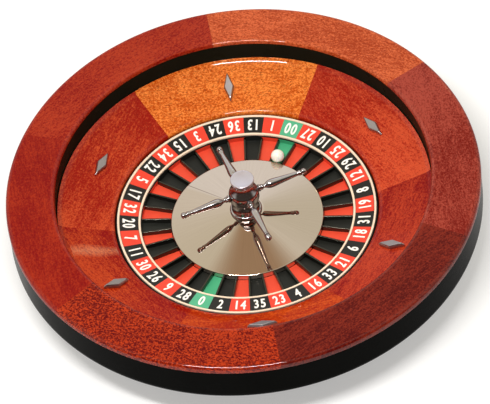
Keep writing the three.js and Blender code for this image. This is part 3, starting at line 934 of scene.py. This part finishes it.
def add_turret_disc():
    """The flat cap, with a fine step round its face and a peg below."""
    cap = extent("turret_cap")
    under = extent("turret_hub").top + GAP
    peg = 3 * MM
    corners = [
        (0, cap.bottom),
        (peg, cap.bottom),
        (peg, under),
        (cap.outer, under, 0.9 * MM),
        (cap.outer, cap.top, 0.9 * MM),
        (cap.outer - 2.2 * MM, cap.top + 0.1 * MM),
        (cap.outer - 2.8 * MM, cap.top - 0.15 * MM),
        (0, cap.top - 0.1 * MM),
    ]
    add("turret_disc", turned(corners, HUB_STEPS), [CAP_METAL], "rotor", ["turret_cap"])


def add_arms():
    """Four turned arms: a shank in the bell, a collar, a long baluster, a bead and a ball end."""
    low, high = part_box("turret_arm_1")
    level = (low.z + high.z) / 2
    shank = [(0, 9.2), (2.2, 9.2), (2.2, 16.8)]
    collar = [(3.9, 16.8, 0.4), (4.1, 18.2, 0.5), (2.7, 19.2, 0.4), (3.4, 20.6, 0.6), (1.9, 22.4, 0.8)]
    baluster = [(2.4, 24.6, 1.0), (4.5, 28.6, 2.0), (4.8, 33, 2.5), (3.9, 42, 4.0), (2.3, 62, 1.0)]
    bead = [(3.2, 64.4, 0.5), (3.1, 65.2, 0.3), (2.0, 66.2, 0.5)]
    ball_end = [(3.4, 67.4, 0.9), (3.4, 70.6, 1.2), (2.0, 72, 0.7), (0, 72)]
    millimetres = shank + collar + baluster + bead + ball_end
    corners = [tuple(value * MM for value in corner) for corner in millimetres]
    for i in range(ARMS):
        angle = FIRST_ARM + i * FULL_TURN / ARMS
        lying = Euler((0, math.pi / 2, angle)).to_matrix().to_4x4()
        place = Matrix.Translation((0, 0, level)) @ lying
        shape = turned(corners, ARM_STEPS, fineness=5)
        add(f"arm_{i + 1}", shape, [CHROME], "rotor", [f"turret_arm_{i + 1}"], place)


def add_ball():
    low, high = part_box("ball")
    centre = (low + high) / 2
    radius = 7.15 * MM
    shape = bmesh.new()
    bmesh.ops.create_icosphere(shape, subdivisions=5, radius=radius)
    add("ivory_ball", shape, [RESIN], "ball", ["ball"], Matrix.Translation(centre))


def add_bearing_cages():
    """A brass ring with its steel balls for each bearing."""
    pitch, half_width, half_height = 9 * MM, 0.8 * MM, 1.2 * MM
    balls, ball_radius = 7, 1.9 * MM  # a little under 2 mm, to clear the faceted races
    for where in ("lower", "upper"):
        low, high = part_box(f"{where}_bearing_cage")
        middle = (low.z + high.z) / 2
        corners = [
            (pitch - half_width, middle - half_height, 0.2 * MM),
            (pitch + half_width, middle - half_height, 0.2 * MM),
            (pitch + half_width, middle + half_height, 0.2 * MM),
            (pitch - half_width, middle + half_height, 0.2 * MM),
        ]
        shape = turned(corners, 8 * balls)
        for i in range(balls):
            place = turn_about_axis(i * FULL_TURN / balls) @ Matrix.Translation((pitch, 0, middle))
            ball = bmesh.ops.create_icosphere(shape, subdivisions=3, radius=ball_radius, matrix=place)
            for face in {face for vertex in ball["verts"] for face in vertex.link_faces}:
                face.material_index = 1
        cage = f"{where}_bearing_cage"
        add(f"{where}_ball_cage", shape, [BRASS, STEEL], "bearing_cages", [cage])


def finish_hidden_hardware():
    steel = ["spindle", "spindle_flange", "spindle_nut", "bearing_inner_spacer", "bearing_outer_spacer"]
    steel += [f"{where}_bearing_{race}" for where in ("lower", "upper") for race in ("inner", "outer")]
    steel += [f"foot_screw_{i}" for i in range(1, 5)] + [f"flange_screw_{i}" for i in range(1, 4)]
    repaint(steel, STEEL)
    repaint(["bearing_housing"], BRASS)
    repaint(["base_board"], BLACK_PAINT)


# ---------------------------------------------------------------- studio


def add_floor():
    shape = bmesh.new()
    bmesh.ops.create_grid(shape, x_segments=8, y_segments=8, size=8.0)
    mesh = bpy.data.meshes.new("floor")
    shape.to_mesh(mesh)
    shape.free()
    mesh.materials.append(pale_floor())
    floor = bpy.data.objects.new("floor", mesh)
    floor.location.z = -0.1 * MM
    bpy.context.scene.collection.objects.link(floor)


def add_softbox(
    name, azimuth, elevation, distance, width, height, glow, in_reflections=True, tint=(1, 1, 1)
):
    """A rectangular lamp that looks at the wheel.
    Azimuth runs anticlockwise from +X, and glow is its radiance."""
    a, e = math.radians(azimuth), math.radians(elevation)
    away = Vector((math.cos(a) * math.cos(e), math.sin(a) * math.cos(e), math.sin(e)))
    lamp = bpy.data.lights.new(name, "AREA")
    lamp.shape = "RECTANGLE"
    lamp.size = width
    lamp.size_y = height
    lamp.energy = glow * math.pi * width * height
    lamp.color = tint
    holder = bpy.data.objects.new(name, lamp)
    holder.location = away * distance + Vector((0, 0, 0.05))
    holder.rotation_euler = (-away).to_track_quat("-Z", "Y").to_euler()
    holder.visible_glossy = in_reflections
    bpy.context.scene.collection.objects.link(holder)


def add_surroundings():
    """A white room with a beige ceiling on the left, a warm wall on the right, a brown patch overhead,
    a dull band near the floor and a dark side towards -Y."""
    white, warm, dull = (1.0, 0.985, 0.965, 1), (0.77, 0.74, 0.62, 1), (0.42, 0.40, 0.38, 1)
    brown, dark = (0.47, 0.32, 0.20, 1), (0.06, 0.045, 0.035, 1)
    pale_beige, deep_beige = (0.90, 0.86, 0.77, 1), (0.80, 0.76, 0.62, 1)
    room = Finish(bpy.data.worlds.new("studio"))
    away = room.node("ShaderNodeTexCoord", output="Generated")

    def towards(direction, low, high):
        """1 for what lies that way, where the cosine of the angle from it is above high."""
        sockets = {0: away, 1: direction}
        cosine = room.node("ShaderNodeVectorMath", {"operation": "DOT_PRODUCT"}, sockets, "Value")
        return room.step(cosine, low, high)

    left_ceiling = (-0.444, 0.0, 0.896)
    ceiling = room.blend(towards(left_ceiling, 0.6, 0.92), pale_beige, deep_beige)
    light = room.blend(towards(left_ceiling, 0.54, 0.56), white, ceiling)
    light = room.blend(towards((1.0, 0.0, 0.0), 0.17, 0.32), light, warm)
    light = room.blend(towards((0.0, 0.28, 0.96), 0.965, 0.998), light, brown)
    light = room.blend(towards((0.0, 0.0, 1.0), 0.12, 0.38), dull, light)
    light = room.blend(towards((0.0, -1.0, 0.0), 0.12, 0.5), light, dark)
    sockets = {"Color": light, "Strength": 1.0}
    bpy.context.scene.world = room.close(sockets, "ShaderNodeBackground", "ShaderNodeOutputWorld")


def add_studio_light():
    add_surroundings()
    add_softbox("window lamp", 250, 66, 2.2, 1.0, 0.16, 82)
    yellow = (1.0, 0.8, 0.42)
    for size in (0.5, 0.8, 1.1, 1.4):  # four behind each other, for a lamp with a soft edge
        distance = 2.5 + 0.01 * size
        name = f"small lamp {size}"
        add_softbox(name, 63.6, 32.2, distance, 0.07 * size, 0.12 * size, 2.6, tint=yellow)
    add_softbox("overhead fill", 270, 80, 2.6, 2.4, 2.4, 0.3, in_reflections=False)


def add_camera():
    """A long lens that looks down at the wheel from the front and far off, rolled a little."""
    place = Vector((-0.0001, -4.5608, 5.2892))
    lean = Matrix.Rotation(math.radians(41.1245), 4, "X")
    roll = Matrix.Rotation(math.radians(-8.0393), 4, "Z")
    lens = bpy.data.cameras.new("camera")
    lens.lens = 477.75
    lens.sensor_width = 36
    lens.clip_end = 100
    holder = bpy.data.objects.new("camera", lens)
    holder.matrix_world = Matrix.Translation(place) @ lean @ roll
    bpy.context.scene.collection.objects.link(holder)
    bpy.context.scene.camera = holder


add_rim()
add_apron()
add_carcass()
add_feet()
add_deflectors()
add_rotor_disc()
add_number_ring()
add_numerals()
add_pocket_bowl()
add_frets()
add_cone()
add_turret_foot()
add_turret_stem()
add_turret_bell()
add_turret_disc()
add_arms()
add_ball()
add_bearing_cages()
finish_hidden_hardware()
add_floor()
add_studio_light()
add_camera()
bpy.context.scene.view_settings.view_transform = "Standard"
